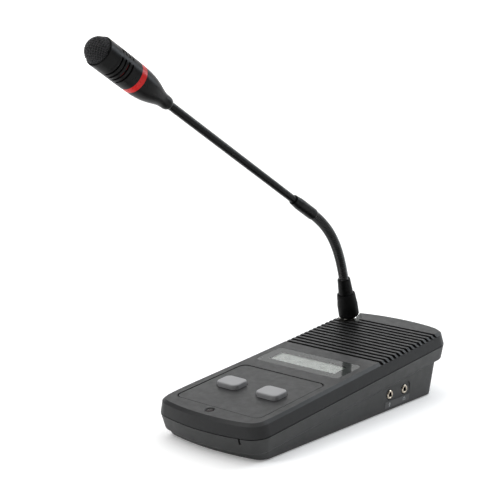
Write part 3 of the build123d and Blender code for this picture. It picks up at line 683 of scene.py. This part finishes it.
# %% Tree of the wound tube
RIBS_PER_LENGTH = 4.5
neck_tree, given = start_tree(
    "Wound tube",
    {
        "Radius": "Float",
        "Rib Height": "Float",
        "Ribs": "Float",
        "Phase": "Float",
        "Facets": "Int",
        "Steps": "Int",
    },
)
fine = put(neck_tree, "GeometryNodeResampleCurve")
wire(neck_tree, given["Geometry"], fine.inputs["Curve"])
wire(neck_tree, given["Steps"], fine.inputs["Count"])
upright = put(neck_tree, "GeometryNodeSetCurveNormal")
if hasattr(upright, "mode"):
    upright.mode = "Z_UP"
else:
    upright.inputs["Mode"].default_value = "Z Up"
wire(neck_tree, fine.outputs["Curve"], upright.inputs["Curve"])
along_path = put(neck_tree, "GeometryNodeCaptureAttribute")
along_path.capture_items.new("FLOAT", "Along")
along_path.capture_items.new("VECTOR", "Centre")
wire(neck_tree, upright.outputs["Curve"], along_path.inputs["Geometry"])
wire(
    neck_tree,
    put(neck_tree, "GeometryNodeSplineParameter").outputs["Factor"],
    along_path.inputs["Along"],
)
wire(
    neck_tree,
    put(neck_tree, "GeometryNodeInputPosition").outputs["Position"],
    along_path.inputs["Centre"],
)
circle = put(neck_tree, "GeometryNodeCurvePrimitiveCircle")
wire(neck_tree, given["Facets"], circle.inputs["Resolution"])
wire(neck_tree, given["Radius"], circle.inputs["Radius"])
around_tube = put(neck_tree, "GeometryNodeCaptureAttribute")
around_tube.capture_items.new("FLOAT", "Around")
wire(neck_tree, circle.outputs["Curve"], around_tube.inputs["Geometry"])
wire(
    neck_tree,
    put(neck_tree, "GeometryNodeSplineParameter").outputs["Factor"],
    around_tube.inputs["Around"],
)
sweep = put(neck_tree, "GeometryNodeCurveToMesh", {"Fill Caps": True})
wire(neck_tree, along_path.outputs["Geometry"], sweep.inputs["Curve"])
wire(neck_tree, around_tube.outputs["Geometry"], sweep.inputs["Profile Curve"])
turns = sums(neck_tree, "MULTIPLY_ADD", along_path.outputs["Along"], given["Ribs"], given["Phase"])
climb = sums(neck_tree, "ADD", turns, around_tube.outputs["Around"])
wave = sums(
    neck_tree, "ABSOLUTE", sums(neck_tree, "SINE", sums(neck_tree, "MULTIPLY", climb, math.pi))
)
rib = sums(
    neck_tree,
    "MULTIPLY",
    sums(neck_tree, "SUBTRACT", sums(neck_tree, "POWER", wave, 0.7), 1.0),
    given["Rib Height"],
)
place = put(neck_tree, "GeometryNodeInputPosition").outputs["Position"]
outwards = vectors(
    neck_tree, "NORMALIZE", vectors(neck_tree, "SUBTRACT", place, along_path.outputs["Centre"])
)
push = put(neck_tree, "GeometryNodeSetPosition")
wire(neck_tree, sweep.outputs["Mesh"], push.inputs["Geometry"])
wire(neck_tree, vectors(neck_tree, "SCALE", outwards, rib), push.inputs["Offset"])
end_tree(neck_tree, push.outputs["Geometry"], given["Material"])
print("wound tube tree has", len(neck_tree.nodes), "nodes")

# %% [markdown]
# The path comes from the frame: each hinge of the neck says where it is, and its own bend is the
# upper end of its range. A length starts half a pitch before its hinge and ends half a pitch after.

# %% Grow the nine lengths
bends = [joints[f"neck_bend_{k}"] for k in range(1, 10)]
centres = [Vector(j["pos_m"]) for j in bends]
half_pitch = (centres[1] - centres[0]).length / 2
foot_place = Vector(joints["neck_turn"]["pos_m"])
heading = (centres[0] - foot_place).normalized()
lengths = []
for k, joint in enumerate(bends):
    turned = Matrix.Rotation(math.radians(joint["range_deg"][1]), 3, "X") @ heading
    low = centres[k] - heading * half_pitch
    high = centres[k] + turned * half_pitch
    reach = half_pitch * 2 / 3
    path = [
        (low, low - heading * reach, low + heading * reach),
        (high, high - turned * reach, high + turned * reach),
    ]
    carrier = curve_object("neck path", [path])
    inputs = {
        "Radius": 4.25 * MM,
        "Rib Height": 1.1 * MM,
        "Ribs": RIBS_PER_LENGTH,
        "Phase": 0.5 * (k % 2),
        "Facets": 32,
        "Steps": 67,
        "Material": coil_black,
    }
    length = grown(f"wound_neck_{k + 1}", neck_tree, carrier, inputs)
    hidden = ["flex_foot", "flex_link_1"] if k == 0 else [
        f"flex_link_{k + 1}" if k < 8 else "flex_top"
    ]
    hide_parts(*hidden)
    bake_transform(length)
    lengths.append(length)
    heading = turned
stem_heading = heading
print("neck lengths:", len(lengths), "with", sum(len(p.data.polygons) for p in lengths), "faces")

# %% [markdown]
# ## The wire dome
# The head's front is woven steel wire pressed into a dome. The weave is a rule too: parallel wires
# laid on a flat square, each point lifted and lowered in turn by a wave, then wrapped over a ball
# by keeping every point's distance from the crown. The second set of wires is the first one turned
# a quarter, with the wave shifted by half so that they cross over and under.

# %% Tree of the woven dome
dome_tree, given = start_tree(
    "Woven dome",
    {
        "Dome Radius": "Float",
        "Wire Radius": "Float",
        "Pitch": "Float",
        "Skirt": "Float",
        "Wires": "Int",
        "Steps": "Int",
    },
)
reach = sums(dome_tree, "MULTIPLY_ADD", given["Dome Radius"], math.pi / 2, given["Skirt"])
sets = []
for shift in (0.0, 1.0):
    rail = put(dome_tree, "GeometryNodeMeshLine", mode="OFFSET")
    wire(dome_tree, given["Wires"], rail.inputs["Count"])
    edge = sums(dome_tree, "MULTIPLY", sums(dome_tree, "SUBTRACT", given["Wires"], 1.0), -0.5)
    first = put(dome_tree, "ShaderNodeCombineXYZ")
    wire(dome_tree, sums(dome_tree, "MULTIPLY", edge, given["Pitch"]), first.inputs["Y"])
    wire(dome_tree, first.outputs[0], rail.inputs["Start Location"])
    step = put(dome_tree, "ShaderNodeCombineXYZ")
    wire(dome_tree, given["Pitch"], step.inputs["Y"])
    wire(dome_tree, step.outputs[0], rail.inputs["Offset"])
    left = put(dome_tree, "ShaderNodeCombineXYZ")
    wire(dome_tree, sums(dome_tree, "MULTIPLY", reach, -1.0), left.inputs["X"])
    right = put(dome_tree, "ShaderNodeCombineXYZ")
    wire(dome_tree, reach, right.inputs["X"])
    strand = put(dome_tree, "GeometryNodeCurvePrimitiveLine")
    wire(dome_tree, left.outputs[0], strand.inputs["Start"])
    wire(dome_tree, right.outputs[0], strand.inputs["End"])
    strand_points = put(dome_tree, "GeometryNodeResampleCurve")
    wire(dome_tree, strand.outputs["Curve"], strand_points.inputs["Curve"])
    wire(dome_tree, given["Steps"], strand_points.inputs["Count"])
    laid = put(dome_tree, "GeometryNodeInstanceOnPoints")
    wire(dome_tree, rail.outputs["Mesh"], laid.inputs["Points"])
    wire(dome_tree, strand_points.outputs["Curve"], laid.inputs["Instance"])
    loose = put(dome_tree, "GeometryNodeRealizeInstances")
    wire(dome_tree, laid.outputs["Instances"], loose.inputs["Geometry"])
    spot = put(dome_tree, "ShaderNodeSeparateXYZ")
    wire(dome_tree, put(dome_tree, "GeometryNodeInputPosition").outputs["Position"], spot.inputs[0])
    over = sums(
        dome_tree,
        "DIVIDE",
        sums(dome_tree, "ADD", spot.outputs["X"], spot.outputs["Y"]),
        given["Pitch"],
    )
    swing = sums(
        dome_tree,
        "SINE",
        sums(dome_tree, "MULTIPLY", sums(dome_tree, "ADD", over, shift + 0.5), math.pi),
    )
    lift = sums(dome_tree, "MULTIPLY", swing, given["Wire Radius"])
    away = vectors(
        dome_tree, "LENGTH", put(dome_tree, "GeometryNodeInputPosition").outputs["Position"]
    )
    angle = sums(
        dome_tree, "MINIMUM", sums(dome_tree, "DIVIDE", away, given["Dome Radius"]), math.pi / 2
    )
    below = sums(
        dome_tree,
        "MAXIMUM",
        sums(
            dome_tree,
            "SUBTRACT",
            away,
            sums(dome_tree, "MULTIPLY", given["Dome Radius"], math.pi / 2),
        ),
        0.0,
    )
    ball = sums(dome_tree, "ADD", given["Dome Radius"], lift)
    spread = sums(
        dome_tree,
        "DIVIDE",
        sums(dome_tree, "MULTIPLY", ball, sums(dome_tree, "SINE", angle)),
        sums(dome_tree, "MAXIMUM", away, 1e-6),
    )
    height = sums(
        dome_tree,
        "SUBTRACT",
        sums(dome_tree, "MULTIPLY", ball, sums(dome_tree, "COSINE", angle)),
        below,
    )
    wrapped = put(dome_tree, "ShaderNodeCombineXYZ")
    wire(dome_tree, sums(dome_tree, "MULTIPLY", spot.outputs["X"], spread), wrapped.inputs["X"])
    wire(dome_tree, sums(dome_tree, "MULTIPLY", spot.outputs["Y"], spread), wrapped.inputs["Y"])
    wire(dome_tree, height, wrapped.inputs["Z"])
    trim = put(dome_tree, "GeometryNodeDeleteGeometry", domain="POINT")
    wire(dome_tree, loose.outputs["Geometry"], trim.inputs["Geometry"])
    wire(dome_tree, sums(dome_tree, "GREATER_THAN", away, reach), trim.inputs["Selection"])
    wrap = put(dome_tree, "GeometryNodeSetPosition")
    wire(dome_tree, trim.outputs["Geometry"], wrap.inputs["Geometry"])
    wire(dome_tree, wrapped.outputs[0], wrap.inputs["Position"])
    turn = put(dome_tree, "GeometryNodeTransform", {"Rotation": (0, 0, shift * math.pi / 2)})
    wire(dome_tree, wrap.outputs["Geometry"], turn.inputs["Geometry"])
    sets.append(turn.outputs["Geometry"])
both = put(dome_tree, "GeometryNodeJoinGeometry")
for made in sets:
    wire(dome_tree, made, both.inputs["Geometry"])
section = put(dome_tree, "GeometryNodeCurvePrimitiveCircle", {"Resolution": 5})
wire(dome_tree, given["Wire Radius"], section.inputs["Radius"])
strands = put(dome_tree, "GeometryNodeCurveToMesh", {"Fill Caps": True})
wire(dome_tree, both.outputs["Geometry"], strands.inputs["Curve"])
wire(dome_tree, section.outputs["Curve"], strands.inputs["Profile Curve"])
end_tree(dome_tree, strands.outputs["Mesh"], given["Material"])
print("woven dome tree has", len(dome_tree.nodes), "nodes")

# %% Grow the dome on the head


def measured(name, direction, origin):
    """Lowest and highest place of a CAD node along a direction from an origin."""
    spans = [(v.co - origin).dot(direction) for v in nodes[name].data.vertices]
    return min(spans), max(spans)


head_origin = centres[-1]
dome_top = measured("mesh_dome", stem_heading, head_origin)[1]
dome_low, dome_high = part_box("mesh_dome")
dome_radius = (dome_high.x - dome_low.x) / 2
WIRE_RADIUS = 0.33 * MM
WIRE_PITCH = 1.7 * MM
WIRE_STEPS = 10
ball_radius = dome_radius - 2 * WIRE_RADIUS
carrier = bpy.data.objects.new("dome carrier", bpy.data.meshes.new("dome carrier"))
bpy.context.scene.collection.objects.link(carrier)
inputs = {
    "Dome Radius": ball_radius,
    "Wire Radius": WIRE_RADIUS,
    "Pitch": WIRE_PITCH,
    "Skirt": WIRE_STEPS * WIRE_PITCH - ball_radius * math.pi / 2,
    "Wires": 2 * WIRE_STEPS + 1,
    "Steps": 8 * WIRE_STEPS + 1,
    "Material": wire_black,
}
wire_dome = grown("woven_wire_dome", dome_tree, carrier, inputs)
side = Vector((1, 0, 0))
turn_to_head = Matrix((side, stem_heading.cross(side), stem_heading)).transposed().to_4x4()
wire_dome.data.transform(
    Matrix.Translation(head_origin + stem_heading * (dome_top - dome_radius)) @ turn_to_head
)
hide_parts("mesh_dome")
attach(wire_dome, "head")
print("dome radius", round(dome_radius / MM, 2), "mm,", len(wire_dome.data.polygons), "faces")

# %% [markdown]
# ## Pictograms beside the jacks
# The strip under the two jacks is printed with what each one takes. Words are left out; a small
# microphone and a small pair of headphones say the same. Each is a few rounded strokes lying on the
# strip, made as flat curves given a little thickness.

# %% Pictograms
strip_low, strip_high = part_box("jack_label")
strip_points = [v.co.copy() for v in nodes["jack_label"].data.vertices]
top_edge = max(p.x for p in strip_points if p.z > strip_high.z - 0.2 * MM)
bottom_edge = max(p.x for p in strip_points if p.z < strip_low.z + 0.2 * MM)
strip_lean = math.atan2(top_edge - bottom_edge, strip_high.z - strip_low.z)
ink_white = moulded("printing ink", (0.42, 0.43, 0.44), 0.5, depth=0.002 * MM)


def strokes(name, lines, thick, centre_y):
    """Rounded strokes on the label strip; each line is a list of (along, up) points, in mm."""
    data = bpy.data.curves.new(name, "CURVE")
    data.dimensions = "3D"
    data.bevel_depth = thick * MM / 2
    data.bevel_resolution = 2
    data.use_fill_caps = True
    for line in lines:
        spline = data.splines.new("POLY")
        spline.points.add(len(line) - 1)
        for target, (along, up) in zip(spline.points, line):
            target.co = (0, along * MM, up * MM, 1)
    carrier = bpy.data.objects.new(name, data)
    bpy.context.scene.collection.objects.link(carrier)
    bpy.context.view_layer.update()
    mesh = bpy.data.meshes.new_from_object(
        carrier.evaluated_get(bpy.context.evaluated_depsgraph_get())
    )
    bpy.data.objects.remove(carrier)
    mesh.transform(Matrix.Diagonal((0.12, 1, 1, 1)))
    mesh.transform(Matrix.Rotation(strip_lean, 4, "Y"))
    middle = (top_edge + bottom_edge) / 2
    mesh.transform(Matrix.Translation((middle, centre_y, (strip_low.z + strip_high.z) / 2)))
    face_outwards(mesh)
    mesh.materials.clear()
    mesh.materials.append(ink_white)
    piece = bpy.data.objects.new(name, mesh)
    bpy.context.scene.collection.objects.link(piece)
    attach(piece, "console")
    return piece


def arc(radius, start, end, centre=(0, 0), steps=14):
    angles = [math.radians(start + (end - start) * k / steps) for k in range(steps + 1)]
    return [(centre[0] + radius * math.cos(a), centre[1] + radius * math.sin(a)) for a in angles]


jack_low, jack_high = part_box("jack_ferrules")
jack_radius = (jack_high.z - jack_low.z) / 2
jack_places = (jack_low.y + jack_radius, jack_high.y - jack_radius)
headset = [
    arc(1.3, 0, 180, (0, -0.2)),
    [(-1.3, -0.2), (-1.3, -1.3)],
    [(1.3, -0.2), (1.3, -1.3)],
    [(-1.0, -0.5), (-1.0, -1.4)],
    [(1.0, -0.5), (1.0, -1.4)],
]
microphone = [
    [(0, 1.5), (0, 0.2)],
    [(0.3, 1.4), (0.3, 0.2)],
    [(-0.3, 1.4), (-0.3, 0.2)],
    arc(1.0, 180, 360, (0, 0.3)),
    [(0, -0.7), (0, -1.6)],
    [(-0.7, -1.6), (0.7, -1.6)],
]
strokes("microphone_pictogram", microphone, 0.42, jack_places[0])
strokes("headphone_pictogram", headset, 0.42, jack_places[1])
print(
    "pictograms at Y",
    [round(y / MM, 1) for y in jack_places],
    "lean",
    round(math.degrees(strip_lean), 2),
)

# %% [markdown]
# ## Floor, light and camera
# Dark satin pieces show their shape only by what they reflect. So the room is dim, and the light
# comes from where it is wanted: a very wide sun for the soft light from above, a bright backdrop
# behind the object whose light grazes the deck and edges, and two long softboxes at the sides that
# draw the highlights along the tubes. The floor glows a little too, which keeps it pale without
# lighting the deck from above.

# %% Floor and backdrop
FLOOR_GLOW = 0.22
floor_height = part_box("rubber_feet")[0].z


def sheet_mesh(name, corners):
    mesh = bpy.data.meshes.new(name)
    mesh.from_pydata(corners, [], [(0, 1, 2, 3)])
    made = bpy.data.objects.new(name, mesh)
    bpy.context.scene.collection.objects.link(made)
    return made


FLOOR_HALF = 6.0
floor_corners = [
    (-FLOOR_HALF, -FLOOR_HALF),
    (FLOOR_HALF, -FLOOR_HALF),
    (FLOOR_HALF, FLOOR_HALF),
    (-FLOOR_HALF, FLOOR_HALF),
]
floor = sheet_mesh("floor", [(x, y, floor_height) for x, y in floor_corners])
floor_paint, tree, shader, where = start_material("floor", Roughness=0.9, Specular_IOR_Level=0.1)
shader.inputs["Emission Color"].default_value = (1, 1, 1, 1)
shader.inputs["Emission Strength"].default_value = FLOOR_GLOW
wire(
    tree,
    tint(tree, noise(tree, where, 0.4), (0.90, 0.90, 0.90), (0.92, 0.92, 0.92)),
    shader.inputs["Base Color"],
)
floor.data.materials.append(floor_paint)

AZIMUTH = math.radians(41.39)
ELEVATION = math.radians(11.29)
ahead = Vector((-math.sin(AZIMUTH), math.cos(AZIMUTH), 0))
right = Vector((math.cos(AZIMUTH), math.sin(AZIMUTH), 0))
BACKDROP_AWAY = 3.2
BACKDROP_HALF = 3.6
BACKDROP_HEIGHT = 2.6
middle = ahead * BACKDROP_AWAY + Vector((0, 0, floor_height))
rise = Vector((0, 0, BACKDROP_HEIGHT))
left_foot = middle - right * BACKDROP_HALF
right_foot = middle + right * BACKDROP_HALF
backdrop = sheet_mesh("backdrop", [left_foot, right_foot, right_foot + rise, left_foot + rise])
backdrop_paint, tree, shader, where = start_material(
    "backdrop", Base_Color=(0.9, 0.9, 0.9, 1), Emission_Color=(1, 1, 1, 1)
)
shader.inputs["Emission Strength"].default_value = 0.8
backdrop.data.materials.append(backdrop_paint)
print("floor and backdrop set")

# %% Lights
ROOM_LIGHT = 0.18
SUN_POWER = 1.9
SUN_WIDTH = math.radians(80)


def softbox(name, place, target, size, power, colour=(1, 1, 1)):
    """A rectangular area light at a place, turned to face a target; size is (width, height)."""
    data = bpy.data.lights.new(name, "AREA")
    data.shape = "RECTANGLE"
    data.size, data.size_y = size
    data.energy = power
    data.color = colour
    made = bpy.data.objects.new(name, data)
    made.location = place
    made.rotation_euler = (Vector(target) - Vector(place)).to_track_quat("-Z", "Y").to_euler()
    bpy.context.scene.collection.objects.link(made)
    return made


world = bpy.data.worlds.new("dim room")
world.use_nodes = True
world.node_tree.nodes["Background"].inputs["Color"].default_value = (1.0, 1.0, 1.0, 1)
world.node_tree.nodes["Background"].inputs["Strength"].default_value = ROOM_LIGHT
bpy.context.scene.world = world
sun = bpy.data.lights.new("wide sun", "SUN")
sun.energy = SUN_POWER
sun.angle = SUN_WIDTH
sun_object = bpy.data.objects.new("wide sun", sun)
sun_object.rotation_euler = (math.radians(-10), math.radians(-8), 0)
bpy.context.scene.collection.objects.link(sun_object)
softbox(
    "left strip", right * -0.9 - ahead * 0.5 + Vector((0, 0, 0.9)), (0, 0, 0.15), (0.25, 0.9), 5
)
softbox(
    "right strip",
    right * 1.0 + ahead * 0.5 + Vector((0, 0, 0.7)),
    (0, 0, 0.10),
    (0.35, 0.9),
    6,
    (0.86, 0.93, 1.0),
)
bpy.context.scene.view_settings.view_transform = "Standard"
print("lights:", len(bpy.data.lights))

# %% Camera
CAMERA_PLACE = Vector((611.0, -754.6, 323.4)) * MM
back = Vector(
    (
        math.sin(AZIMUTH) * math.cos(ELEVATION),
        -math.cos(AZIMUTH) * math.cos(ELEVATION),
        math.sin(ELEVATION),
    )
)
camera_data = bpy.data.cameras.new("camera")
camera_data.sensor_width = 36
camera_data.lens = 93.6
camera_data.clip_start = 0.01
camera = bpy.data.objects.new("camera", camera_data)
camera.matrix_world = Matrix.Translation(CAMERA_PLACE) @ Matrix(
    (right, back.cross(right), back)
).transposed().to_4x4()
bpy.context.scene.collection.objects.link(camera)
bpy.context.scene.camera = camera
print("camera", [round(c, 4) for c in camera.location])
